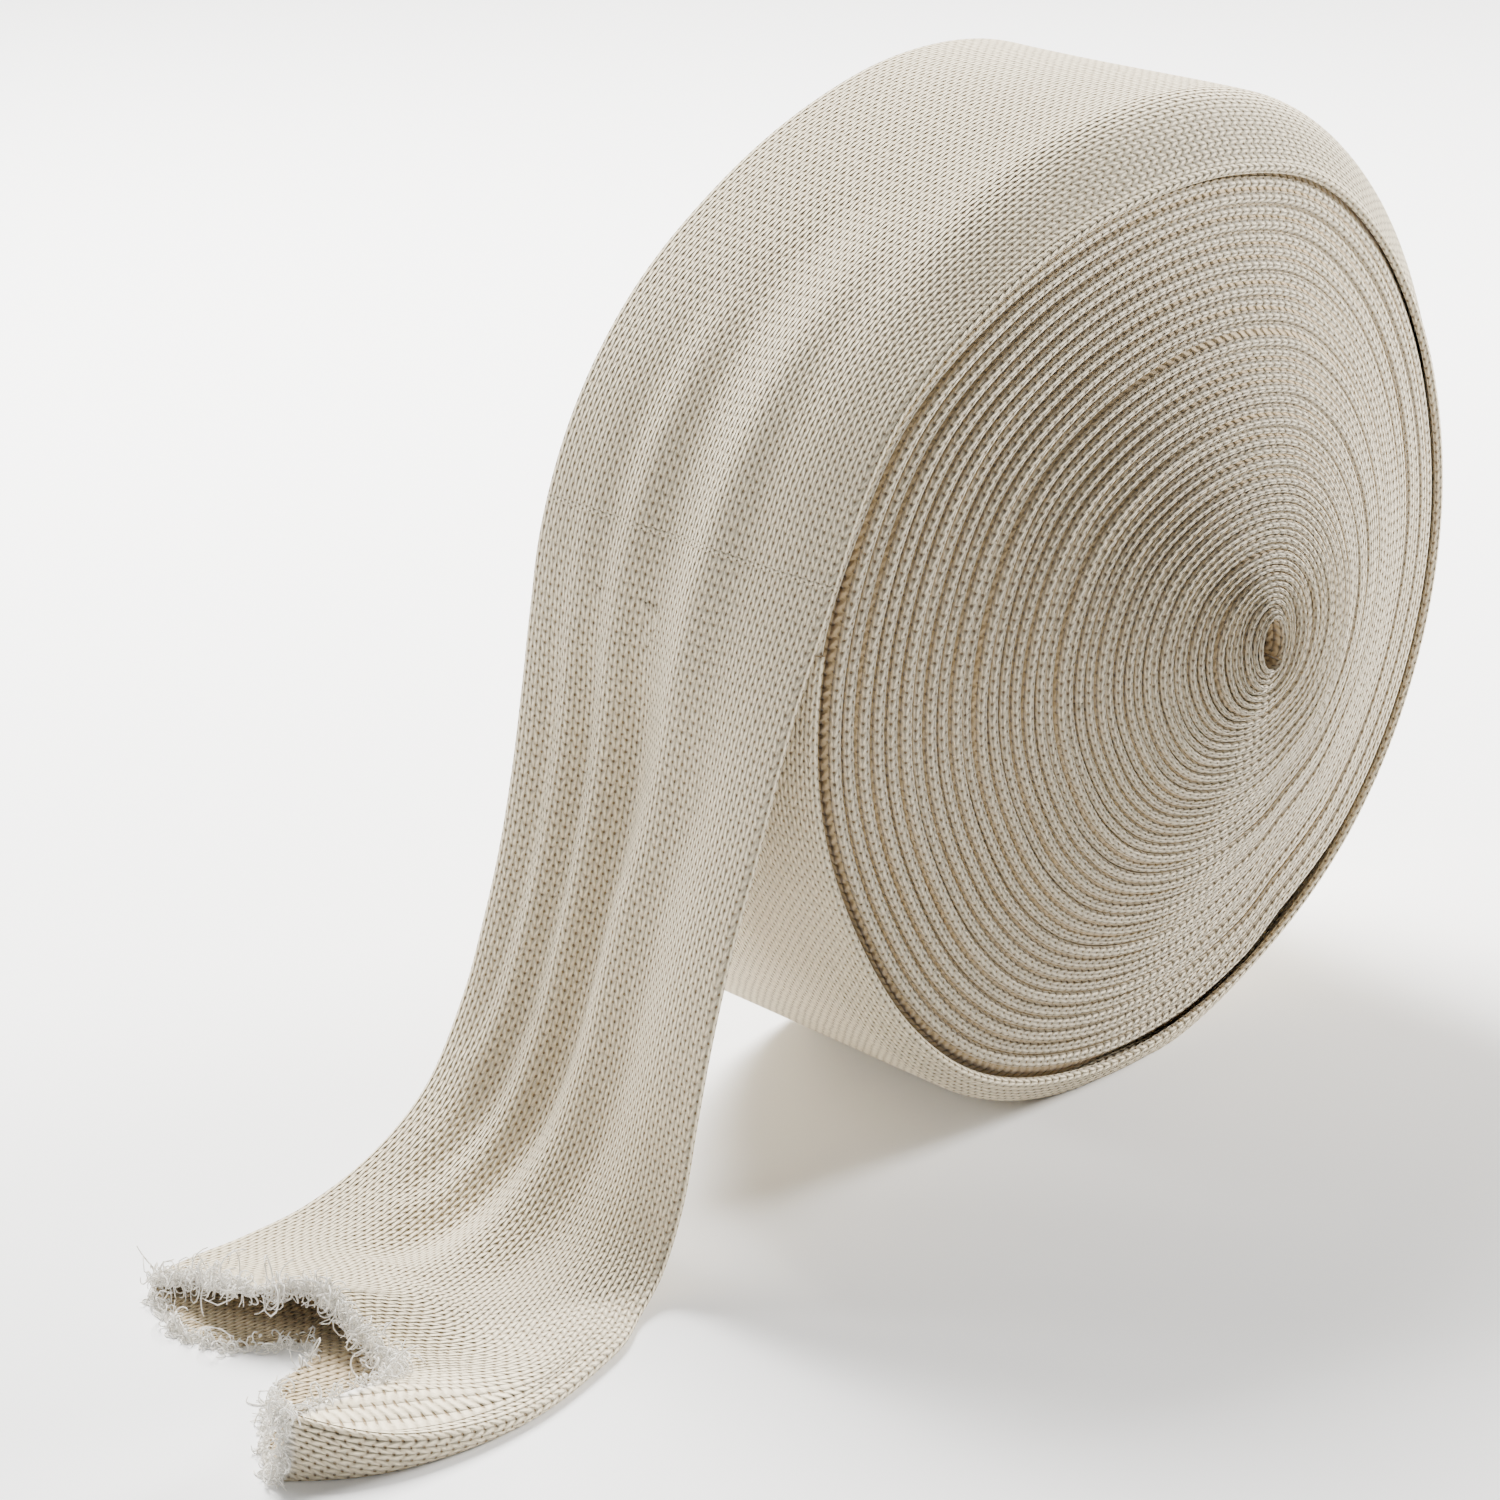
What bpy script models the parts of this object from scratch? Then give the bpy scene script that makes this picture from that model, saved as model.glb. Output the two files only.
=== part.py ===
# Roll of tubular cotton stockinette: a knitted tube, wound flat on itself, with its free end pulled down.
#
# The frame has +Z up. The roll stands on its rim with its axis along Y. The face that rises to a blunt
# cone looks towards -Y, and the free end comes over the top and reaches the floor towards -X. The origin
# is on the floor, in the middle of the flat patch that the roll rests on. All sizes are in metres.
#
# Three pieces: the windings (every turn under the outermost), the outer turn, and the free end, a hollow
# tube of two knitted layers that is open at its cut mouth.

import math

import bmesh
import bpy
import numpy as np

# Driving sizes.
ROLL_RADIUS = 0.110      # from the roll's axis to the floor side of its rim
TUBE_WIDTH = 0.076       # the flat width of the wound tube
LAYER = 0.00115          # one knitted layer; a turn is two of them
CLEARANCE = 0.0003       # between pieces that lie on each other
SETTLE = 0.0007          # how much the soft rim flattens on the floor
CONE_RISE = 0.035        # how far the core stands out past the rim
CORE_RADIUS = 0.0058     # half the height of the lens-shaped core hole
CORE_SQUEEZE = 0.62      # the core hole's width over its height
CORE_SHIFT = 0.002       # the core sits off the axis, away from the free end
CORE_LIFT = 0.006        # and above it
RIDGE = 0.0014           # how far a ridge of folded edges stands out of the face
FOLD_BULGE = 0.0008      # how far a folded edge rounds out past the flat width
FLAT_OPENING = 0.0005    # the space left between the layers where the tube lies flat
CREASE_DEPTH = 0.0028    # the deepest crease along the hanging stretch

# Resolution.
RIDGE_TURNS = 12         # ridges of the face, each for about four real turns
AROUND = 52              # corners in one turn
FREE_STATIONS = 32       # sections along the free end

TURN = 2 * LAYER
AXIS_HEIGHT = ROLL_RADIUS - SETTLE
HALF_WIDTH = TUBE_WIDTH / 2
START_ANGLE = -176.5     # degrees, where the outer turn starts, just under the free end
LEAVE_ANGLE = 160.0      # degrees, where the free end leaves the roll
LEAD_ANGLE = 12.0        # the windings' last turn rises to the outer turn's start over this angle

# Shares of the way across the tube, from the near fold to the far fold.
ACROSS = np.array([0.0, 0.05, 0.12, 0.20, 0.32, 0.42, 0.52, 0.64, 0.78, 0.90, 1.0])

# The rim's outline: angle about the axis in degrees, the rim's radius at the near fold, at the crown and
# at the far fold as shares of ROLL_RADIUS, and the share across the tube where the crown is.
RIM_ROWS = np.array([
    # angle   near  crown    far  crown at
    [START_ANGLE, 0.960, 0.985, 1.010, 0.20],
    [-150.0, 0.945, 0.960, 0.980, 0.20],
    [-135.0, 0.960, 0.988, 0.988, 0.12],
    [-120.0, 0.975, 1.010, 1.008, 0.07],
    [-100.0, 0.968, 1.014, 1.012, 0.06],
    [-80.0, 0.962, 1.014, 1.012, 0.06],
    [-60.0, 0.960, 0.998, 0.998, 0.06],
    [-45.0, 0.965, 0.996, 0.997, 0.07],
    [-15.0, 0.965, 0.996, 1.002, 0.09],
    [0.0, 0.968, 1.018, 1.012, 0.14],
    [15.0, 0.970, 1.045, 1.025, 0.20],
    [30.0, 0.978, 1.085, 1.050, 0.20],
    [45.0, 0.988, 1.105, 1.070, 0.20],
    [60.0, 0.986, 1.105, 1.075, 0.20],
    [75.0, 0.952, 1.080, 1.078, 0.20],
    [90.0, 0.924, 1.042, 1.060, 0.22],
    [105.0, 0.916, 1.010, 1.036, 0.25],
    [120.0, 0.930, 1.000, 1.027, 0.25],
    [140.0, 0.968, 1.005, 1.042, 0.25],
    [160.0, 0.966, 1.000, 1.045, 0.25],
])

# The slack under the outer turn's near fold: angle in degrees, then how far the fold stands off the
# windings there, as a share of ROLL_RADIUS. It is gone by the share SLACK_TO across the tube.
SLACK_ROWS = np.array([
    # angle  slack
    [-84.0, 0.000],
    [-70.0, 0.022],
    [-56.0, 0.022],
    [-40.0, 0.012],
    [10.0, 0.010],
    [40.0, 0.000],
])
SLACK_TO = 0.35

# The face's profile: share of the way from the core to the rim, then how far the face has fallen back
# there, as a share of CONE_RISE, on the free end's side and on the other side.
FACE_ROWS = np.array([
    # share   free  other
    [0.00, 0.00, 0.00],
    [0.30, 0.31, 0.24],
    [0.60, 0.62, 0.62],
    [0.85, 0.87, 0.96],
    [1.00, 1.00, 1.00],
])

# The free end's course, from where it leaves the roll to its mouth. Each row is one section: its near
# and far corner on the side that faces the roll or the floor. x and z are shares of ROLL_RADIUS from
# the origin, y is a share of half the tube's width.
COURSE_ROWS = np.array([
    # near x   near z  near y   far x    far z   far y
    [-0.976, 1.132, -1.00, -1.010, 1.127, 1.00],
    [-1.030, 0.991, -1.00, -1.032, 0.991, 1.00],
    [-1.088, 0.823, -1.00, -1.062, 0.823, 1.00],
    [-1.152, 0.657, -1.00, -1.102, 0.650, 1.00],
    [-1.204, 0.495, -1.00, -1.152, 0.494, 1.00],
    [-1.248, 0.330, -1.00, -1.215, 0.336, 1.00],
    [-1.292, 0.173, -1.01, -1.320, 0.173, 0.99],
    [-1.358, 0.050, -1.03, -1.474, 0.068, 0.98],
    [-1.460, 0.000, -1.13, -1.650, 0.014, 0.98],
    [-1.591, 0.000, -1.34, -1.809, 0.000, 0.99],
    [-1.773, 0.000, -1.51, -1.927, 0.000, 0.99],
    [-1.927, 0.000, -1.40, -2.009, 0.000, 0.98],
    [-2.055, 0.000, -1.03, -2.073, 0.000, 0.95],
])

# How far the two layers stand apart beyond FLAT_OPENING, at the same sections, as shares of the
# tube's width: beside the near fold, in the valley next to it, in the middle and by the far fold.
OPENING_AT = np.array([0.0, 0.10, 0.28, 0.58, 1.0])
OPENING_ROWS = np.array([
    # fold   near  valley middle   far
    [0.000, 0.000, 0.000, 0.000, 0.000],
    [0.000, 0.000, 0.000, 0.000, 0.000],
    [0.000, 0.000, 0.000, 0.000, 0.000],
    [0.000, 0.000, 0.000, 0.000, 0.000],
    [0.000, 0.000, 0.000, 0.000, 0.000],
    [0.000, 0.000, 0.000, 0.004, 0.000],
    [0.000, 0.004, 0.002, 0.010, 0.002],
    [0.004, 0.010, 0.004, 0.020, 0.004],
    [0.010, 0.025, 0.004, 0.030, 0.006],
    [0.020, 0.050, 0.004, 0.040, 0.008],
    [0.050, 0.090, 0.006, 0.052, 0.010],
    [0.095, 0.130, 0.016, 0.064, 0.014],
    [0.125, 0.150, 0.050, 0.078, 0.016],
])

# Lengthwise creases of the hanging stretch: share across the tube, width as a share of the tube's
# width, depth as a share of CREASE_DEPTH, and the rows of COURSE_ROWS between which the crease runs.
CREASE_ROWS = np.array([
    # across  width  depth  start   end
    [0.66, 0.055, 1.00, -0.4, 6.5],
    [0.81, 0.045, 0.80, -0.1, 5.5],
    [0.91, 0.035, 0.50, 0.2, 3.0],
])

# The cut at the mouth: share across the tube, then how far the upper and the lower layer reach past
# the last section there, as shares of the tube's width. The lower layer has a notch near its middle.
# The layers are drawn out to the cut from the row MOUTH_FROM of COURSE_ROWS on.
MOUTH_ROWS = np.array([
    # across  upper  lower
    [0.00, 0.330, 0.375],
    [0.05, 0.030, 0.335],
    [0.14, -0.065, 0.265],
    [0.25, -0.125, 0.170],
    [0.36, -0.175, 0.050],
    [0.40, -0.190, -0.120],
    [0.47, -0.220, -0.155],
    [0.53, -0.170, -0.105],
    [0.61, -0.080, 0.015],
    [0.75, -0.072, 0.045],
    [0.85, -0.085, 0.020],
    [1.00, -0.040, -0.040],
])
MOUTH_FROM = 8.5


def clear_scene():
    """Remove every object that the file opened with."""
    for item in list(bpy.data.objects):
        bpy.data.objects.remove(item, do_unlink=True)


def cloth_material(name, colour):
    """A matt cotton surface of one colour."""
    material = bpy.data.materials.new(name)
    material.use_nodes = True
    shader = material.node_tree.nodes["Principled BSDF"]
    shader.inputs["Base Color"].default_value = (*colour, 1.0)
    shader.inputs["Roughness"].default_value = 0.95
    shader.inputs["Metallic"].default_value = 0.0
    return material


def make_piece(name, points, faces, colour):
    """One named object from points and faces, with its faces turned outwards and shaded smooth."""
    mesh = bpy.data.meshes.new(name)
    mesh.from_pydata([tuple(point) for point in points], [], faces)
    shell = bmesh.new()
    shell.from_mesh(mesh)
    bmesh.ops.recalc_face_normals(shell, faces=shell.faces)
    shell.to_mesh(mesh)
    shell.free()
    mesh.materials.append(cloth_material(name + "_cotton", colour))
    mesh.shade_smooth()
    mesh.set_sharp_from_angle(angle=math.radians(50))
    piece = bpy.data.objects.new(name, mesh)
    bpy.context.scene.collection.objects.link(piece)
    return piece


def curve_through(rows, stations):
    """Values of a smooth curve through evenly numbered rows (Catmull-Rom), at each station."""
    stations = np.asarray(stations, float)
    last = len(rows) - 1
    left = np.clip(np.floor(stations).astype(int), 0, last - 1)
    part = (stations - left)[:, None]
    before = rows[np.clip(left - 1, 0, last)]
    first = rows[left]
    second = rows[left + 1]
    after = rows[np.clip(left + 2, 0, last)]
    return 0.5 * (2 * first + (second - before) * part
                  + (2 * before - 5 * first + 4 * second - after) * part ** 2
                  + (3 * first - before - 3 * second + after) * part ** 3)


def eased(part):
    """A rise from 0 to 1 that starts and ends level."""
    part = np.clip(part, 0.0, 1.0)
    return part * part * (3 - 2 * part)


def rim_radius(angle, across):
    """The radius of the roll's outer surface at an angle in degrees and a share across the tube."""
    turned = (angle - START_ANGLE) % 360.0 + START_ANGLE
    keys = np.append(RIM_ROWS[:, 0], START_ANGLE + 360.0)
    near, crown, far, crown_at = (np.interp(turned, keys, np.append(column, column[0]))
                                  for column in RIM_ROWS[:, 1:].T)
    if across < crown_at:
        return ROLL_RADIUS * (near + (crown - near) * math.sin(0.5 * math.pi * across / crown_at))
    return ROLL_RADIUS * (crown + (far - crown) * eased((across - crown_at) / (1 - crown_at)))


def on_roll(angle, radius, y, floor, centre=(0.0, 0.0)):
    """A point at a radius and angle about the axis, kept above a floor height."""
    turn = math.radians(angle)
    x = centre[0] + radius * math.cos(turn)
    z = AXIS_HEIGHT + centre[1] + radius * math.sin(turn)
    return np.array([x, y, max(z, floor)])


def face_fall(share, angle):
    """How far the face has fallen back from the core's height, at a share of the way to the rim."""
    other_side = 0.5 + 0.5 * math.cos(math.radians(angle))
    free = np.interp(share, FACE_ROWS[:, 0], FACE_ROWS[:, 1])
    other = np.interp(share, FACE_ROWS[:, 0], FACE_ROWS[:, 2])
    return CONE_RISE * (free + (other - free) * other_side)


def winding_radius(angle, last_turn, across):
    """The windings' outer radius under the outer turn, at a share of the windings' last turn."""
    lead = eased((last_turn * 360.0 - (360.0 - LEAD_ANGLE)) / LEAD_ANGLE)
    turned = (angle - START_ANGLE) % 360.0 + START_ANGLE
    slack = np.interp(turned, SLACK_ROWS[:, 0], SLACK_ROWS[:, 1]) * ROLL_RADIUS
    slack *= max(1 - across / SLACK_TO, 0.0) ** 2
    return rim_radius(angle, across) - (TURN + CLEARANCE) * (1 - lead) - slack


def split_quad(quad, turned=False):
    """A quad's two triangles, cut from its first corner, or from its second if turned."""
    first, second, third, fourth = quad[1:] + quad[:1] if turned else quad
    return [(first, second, third), (first, third, fourth)]


def make_windings():
    """Every turn under the outermost, as one solid with a spiral ridge on both faces and an open core.

    Two spirals run from the core to the rim: the ridges' crests and the valleys outside them. A crest at
    step k lies between the valleys at steps k - AROUND and k, so each face is one strip of quads that
    winds outwards. The far face is the near face moved by the tube's width, as in a roll whose core has
    been pushed out, and the rim and the core's wall join the two.
    """
    steps = RIDGE_TURNS * AROUND
    angles = START_ANGLE + np.arange(steps + 1) * 360.0 / AROUND
    first_last_turn = steps - AROUND
    floor = TURN + CLEARANCE

    def valley_radii(across):
        """Each valley's radius, and the rim's radius at the same angle."""
        rims = np.array([rim_radius(angle, across) for angle in angles])
        level = np.arange(steps + 1) / AROUND
        room = ROLL_RADIUS - CORE_RADIUS
        share = np.interp(level, [0.0, 0.5, RIDGE_TURNS - 1.0],
                          [0.5 * TURN / room, TURN / room, 1 - (TURN + CLEARANCE) / room])
        radii = CORE_RADIUS + share * (rims - CORE_RADIUS)
        for step in range(first_last_turn, steps + 1):
            radii[step] = winding_radius(angles[step], (step - first_last_turn) / AROUND, across)
        return radii, rims

    def face_points(side):
        """The crests and valleys of one face: side -1 is the near face, +1 the far one."""
        across = 0.0 if side < 0 else 1.0
        valleys, rims = valley_radii(across)
        crests = valleys.copy()
        crests[AROUND:] = 0.5 * (valleys[AROUND:] + valleys[:-AROUND])
        start = np.arange(AROUND) / AROUND
        crests[:AROUND] = CORE_RADIUS + start * (crests[AROUND] - CORE_RADIUS)
        points = []
        for radii, raised in ((crests, RIDGE), (valleys, 0.0)):
            for step, radius in enumerate(radii):
                share = np.clip((radius - CORE_RADIUS) / (rims[step] - CORE_RADIUS), 0, 1)
                at_rim = radii is valleys and step >= first_last_turn
                share = 1.0 if at_rim else share
                squeeze = CORE_SQUEEZE + (1 - CORE_SQUEEZE) * eased(share * 6)
                centre = (CORE_SHIFT * (1 - share), CORE_LIFT * (1 - share))
                fall = face_fall(share, angles[step])
                y = side * HALF_WIDTH - (CONE_RISE - fall) + side * raised
                point = on_roll(angles[step], radius, y, floor, centre)
                point[0] = centre[0] + (point[0] - centre[0]) * squeeze
                points.append(point)
        return points

    near = face_points(-1)
    far = face_points(1)
    points = near + far
    offset = len(near)
    crest = list(range(steps + 1))
    valley = [steps + 1 + step for step in range(steps + 1)]
    faces = []
    for base in (0, offset):
        for step in range(steps):
            faces.append((base + crest[step], base + crest[step + 1],
                          base + valley[step + 1], base + valley[step]))
        for step in range(steps - AROUND):
            faces.append((base + valley[step], base + valley[step + 1],
                          base + crest[step + 1 + AROUND], base + crest[step + AROUND]))
    inner = crest[:AROUND + 1] + [valley[0]]
    outer = valley[first_last_turn:] + [crest[steps]]
    for index, corner in enumerate(inner):
        after = inner[(index + 1) % len(inner)]
        faces.append((corner, after, offset + after, offset + corner))
    columns = [[corner] for corner in outer]
    for across in ACROSS[1:-1]:
        for index, column in enumerate(columns):
            column.append(len(points))
            y = -HALF_WIDTH + across * TUBE_WIDTH
            if index < len(outer) - 1:
                radius = winding_radius(angles[first_last_turn + index], index / AROUND, across)
            else:
                radius = rim_radius(START_ANGLE, across) - 0.5 * (TURN + CLEARANCE)
            points.append(on_roll(angles[first_last_turn + min(index, AROUND)], radius, y, floor))
    for index, column in enumerate(columns):
        column.append(offset + outer[index])
    for index, column in enumerate(columns):
        beside = columns[(index + 1) % len(columns)]
        for row in range(len(column) - 1):
            faces += split_quad((column[row], column[row + 1], beside[row + 1], beside[row]))
    return make_piece("windings", points, faces, (0.80, 0.74, 0.63))


def ring_order(upper, far_fold, lower, near_fold):
    """A section's points in order round the tube: upper layer, far fold, lower layer, near fold."""
    return list(upper) + [far_fold] + list(lower)[::-1] + [near_fold]


def turn_ring(angle):
    """The flattened tube's section on the roll: two layers pressed together, with rounded folds."""
    upper = [on_roll(angle, rim_radius(angle, across), -HALF_WIDTH + across * TUBE_WIDTH, 0.0)
             for across in ACROSS]
    lower = [on_roll(angle, rim_radius(angle, across) - TURN, -HALF_WIDTH + across * TUBE_WIDTH, TURN)
             for across in ACROSS]
    far_fold = 0.5 * (upper[-1] + lower[-1]) + np.array([0, FOLD_BULGE, 0])
    near_fold = 0.5 * (upper[0] + lower[0]) - np.array([0, FOLD_BULGE, 0])
    return ring_order(upper, far_fold, lower, near_fold)


def strip_faces(rings):
    """Triangles between neighbouring rings of corner numbers.

    The lower layer's corners run back across the tube, so its quads are cut the other way: surfaces that
    lie on each other are then cut alike and keep the same distance everywhere.
    """
    faces = []
    for ring, beside in zip(rings, rings[1:]):
        for index, corner in enumerate(ring):
            after = (index + 1) % len(ring)
            faces += split_quad((corner, ring[after], beside[after], beside[index]), index > len(ACROSS))
    return faces


def end_faces(ring):
    """Quads that close a flattened section, from its upper layer to its lower one."""
    count = len(ACROSS)
    upper = ring[:count]
    lower = ring[count + 1:2 * count + 1][::-1]
    faces = [(upper[0], ring[-1], lower[0]), (upper[-1], ring[count], lower[-1])]
    for index in range(count - 1):
        faces.append((upper[index], upper[index + 1], lower[index + 1], lower[index]))
    return faces


def make_outer_turn():
    """The outermost turn: it starts under the free end, goes round below and ends where the tube leaves."""
    gap = math.degrees(CLEARANCE / ROLL_RADIUS)
    inner_steps = int((LEAVE_ANGLE - START_ANGLE) * AROUND / 360.0)
    angles = [START_ANGLE + gap]
    angles += [START_ANGLE + step * 360.0 / AROUND for step in range(1, inner_steps + 1)]
    if LEAVE_ANGLE - angles[-1] < 180.0 / AROUND:
        angles.pop()
    angles.append(LEAVE_ANGLE)
    points = []
    rings = []
    for angle in angles:
        ring = turn_ring(angle)
        rings.append(list(range(len(points), len(points) + len(ring))))
        points += ring
    faces = strip_faces(rings) + end_faces(rings[0]) + end_faces(rings[-1])
    return make_piece("outer_turn", points, faces, (0.84, 0.79, 0.68))


def course_sections():
    """The free end's control sections: two on the roll that it grows out of, then the course's rows."""
    rows = []
    for angle in (LEAVE_ANGLE - 20.0, LEAVE_ANGLE):
        near = on_roll(angle, rim_radius(angle, 0.0) - TURN, 0.0, 0.0)
        far = on_roll(angle, rim_radius(angle, 1.0) - TURN, 0.0, 0.0)
        rows.append([near[0], near[2], -HALF_WIDTH, far[0], far[2], HALF_WIDTH])
    scale = np.array([ROLL_RADIUS, ROLL_RADIUS, HALF_WIDTH] * 2)
    rows += list(COURSE_ROWS * scale)
    return np.array(rows)


SECTIONS = course_sections()
FIRST_ROW = len(SECTIONS) - len(COURSE_ROWS)
LAST_SECTION = len(SECTIONS) - 1


def section_frame(station):
    """A section's near corner, far corner and the direction away from the roll and the floor."""
    def corners(at):
        near_x, near_z, near_y, far_x, far_z, far_y = curve_through(SECTIONS, [at])[0]
        return np.array([near_x, near_y, near_z]), np.array([far_x, far_y, far_z])
    near, far = corners(station)
    low = max(station - 0.1, 0.0)
    high = min(station + 0.1, LAST_SECTION)
    along = 0.5 * (np.add(*corners(high)) - np.add(*corners(low)))
    away = np.array([along[2], 0.0, -along[0]])
    return near, far, away / np.linalg.norm(away)


def opening_at(station, across):
    """How far the layers stand apart at a section and a share across the tube."""
    row = curve_through(OPENING_ROWS, [max(station - FIRST_ROW, 0.0)])[0]
    return FLAT_OPENING + TUBE_WIDTH * max(np.interp(across, OPENING_AT, row), 0.0)


def crease_at(station, across):
    """How deep the creases press the tube in at a section and a share across it."""
    depth = 0.0
    for centre, width, share, start, end in CREASE_ROWS:
        row = station - FIRST_ROW
        along = eased((row - start) / 1.2) * eased((end - row) / 1.5)
        depth += share * along * math.exp(-((across - centre) / width) ** 2)
    return CREASE_DEPTH * depth


def free_ring(station, inside):
    """A section of the free end: the tube's outer surface, or the surface of the hollow inside it."""
    near, far, away = section_frame(station)
    skin = LAYER if inside else 0.0
    inset = 2 * skin / TUBE_WIDTH
    drawn = eased((station - FIRST_ROW - MOUTH_FROM) / (LAST_SECTION - FIRST_ROW - MOUTH_FROM))
    upper = []
    lower = []
    for across in inset + ACROSS * (1 - 2 * inset):
        base = near + (far - near) * across - away * crease_at(station, across)
        top = TURN + opening_at(station, across)
        reach_up = np.interp(across, MOUTH_ROWS[:, 0], MOUTH_ROWS[:, 1]) * TUBE_WIDTH * drawn
        reach_low = np.interp(across, MOUTH_ROWS[:, 0], MOUTH_ROWS[:, 2]) * TUBE_WIDTH * drawn
        upper.append(base + away * (top - skin) - np.array([reach_up, 0, 0]))
        lower.append(base + away * skin - np.array([reach_low, 0, 0]))
        lower[-1][2] = max(lower[-1][2], skin)
    width_way = (far - near) / np.linalg.norm(far - near)
    far_bulge = FOLD_BULGE + 0.25 * (opening_at(station, 1.0) - FLAT_OPENING)
    near_bulge = FOLD_BULGE + 0.12 * (opening_at(station, 0.0) - FLAT_OPENING)
    far_fold = 0.5 * (upper[-1] + lower[-1]) + width_way * (far_bulge + 0.5 * skin)
    near_fold = 0.5 * (upper[0] + lower[0]) - width_way * (near_bulge + 0.5 * skin)
    return ring_order(upper, far_fold, lower, near_fold)


def make_free_end():
    """The free end: a hollow tube of two layers, closed where it meets the roll and open at its mouth."""
    gap = math.degrees(CLEARANCE / ROLL_RADIUS)
    stations = np.linspace(FIRST_ROW - 1, LAST_SECTION, FREE_STATIONS)
    hollow = stations[2:]
    points = []
    rings = []
    for inside, places in ((False, stations), (True, hollow)):
        for station in places:
            ring = free_ring(station, inside)
            if station == stations[0]:
                ring = turn_ring(LEAVE_ANGLE + gap)
            rings.append(list(range(len(points), len(points) + len(ring))))
            points += ring
    skin = rings[:len(stations)]
    lining = rings[len(stations):]
    faces = strip_faces(skin) + strip_faces(lining) + strip_faces([skin[-1], lining[-1]])
    faces += end_faces(skin[0]) + end_faces(lining[0])
    return make_piece("free_end", points, faces, (0.86, 0.81, 0.71))


clear_scene()
make_windings()
make_outer_turn()
make_free_end()
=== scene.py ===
# %% [markdown]
# # A roll of tubular cotton stockinette
# The object is one long knitted tube. It was pressed flat, wound up on itself, and its last stretch pulled
# off again: it hangs down beside the roll, sweeps over the floor and ends in a raw cut. This lesson builds
# what the eye sees of it: the folded edges of some forty-five turns, the smooth outermost turn, the open
# mouth with its frayed loops, and the knit itself.

# %% Load the fixed frame
import math

import bpy
import numpy as np
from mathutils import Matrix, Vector


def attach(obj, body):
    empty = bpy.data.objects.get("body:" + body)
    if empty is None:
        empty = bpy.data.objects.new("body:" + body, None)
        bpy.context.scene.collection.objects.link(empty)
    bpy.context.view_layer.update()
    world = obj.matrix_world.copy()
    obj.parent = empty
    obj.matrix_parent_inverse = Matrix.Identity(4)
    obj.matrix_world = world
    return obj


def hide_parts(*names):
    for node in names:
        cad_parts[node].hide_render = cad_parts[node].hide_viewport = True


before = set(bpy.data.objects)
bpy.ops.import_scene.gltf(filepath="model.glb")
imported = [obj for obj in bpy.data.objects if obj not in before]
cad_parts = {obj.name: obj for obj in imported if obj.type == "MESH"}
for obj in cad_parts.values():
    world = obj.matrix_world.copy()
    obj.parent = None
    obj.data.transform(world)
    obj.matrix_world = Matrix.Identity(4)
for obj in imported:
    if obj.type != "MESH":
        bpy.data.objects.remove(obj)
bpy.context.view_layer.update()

# %% [markdown]
# ## Sizes
# All lengths are in metres, in the frame of the solids: the origin is on the floor under the roll, the
# roll's axis lies along Y, and the free end lies towards -X. The same few sizes and short tables that shape
# the solids shape the cloth, so the cloth lies where the solids are.

# %% Named sizes
ROLL_RADIUS = 0.110
TUBE_WIDTH = 0.076
HALF_WIDTH = TUBE_WIDTH / 2
LAYER = 0.00115
TURN = 2 * LAYER
CLEARANCE = 0.0003
AXIS_HEIGHT = ROLL_RADIUS - 0.0007
CONE_RISE = 0.035
CORE_RADIUS = 0.0058
CORE_SQUEEZE = 0.62
CORE_CENTRE = (0.002, 0.006)
START_ANGLE = -176.5
LEAVE_ANGLE = 160.0
TURNS = 45
WALE = 0.0020            # the width of one column of knit stitches
COURSE = 0.0026          # the height of one row of them
WALES_FLAT = TUBE_WIDTH / WALE
FOLD_BULGE = 0.0012      # how far a rounded fold stands out past the flat width
print("stitch columns across the flat tube:", WALES_FLAT)

# %% [markdown]
# ## Reading a short table as a smooth curve
# A worn roll isn't round: its rim sags inwards at the near edge and bulges behind it. Such a form could be
# sculpted by hand, but a table with one row per direction says the same in a dozen lines. A cubic through
# the rows keeps the cloth free of corners.

# %% Curves through tables
def ease(part):
    """A rise from 0 to 1 that starts and ends level: three part squared less two part cubed."""
    part = np.clip(part, 0.0, 1.0)
    return part * part * (3 - 2 * part)


def smooth_rows(keys, rows, at):
    """Cubic through the rows at uneven keys; the slope at a row is the weighted slope to its neighbours."""
    keys, rows, at = (np.asarray(item, float) for item in (keys, rows, at))
    slopes = np.gradient(rows, keys, axis=0)
    left = np.clip(np.searchsorted(keys, at, side="right") - 1, 0, len(keys) - 2)
    step = keys[left + 1] - keys[left]
    part = np.clip((at - keys[left]) / step, 0.0, 1.0)
    if rows.ndim > 1:
        step, part = step[:, None], part[:, None]
    rise = rows[left + 1] - rows[left]
    first, second = slopes[left] * step, slopes[left + 1] * step
    return rows[left] + part * (first + part * (3 * rise - 2 * first - second
                                                + part * (first + second - 2 * rise)))


def round_rows(keys, rows, angles):
    """The same curve closed on itself: the rows are repeated one turn before and one turn after."""
    keys = np.concatenate([np.add(keys, -360.0), keys, np.add(keys, 360.0)])
    turned = (np.asarray(angles) - START_ANGLE) % 360.0 + START_ANGLE
    return smooth_rows(keys, np.concatenate([rows] * 3), turned)


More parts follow.
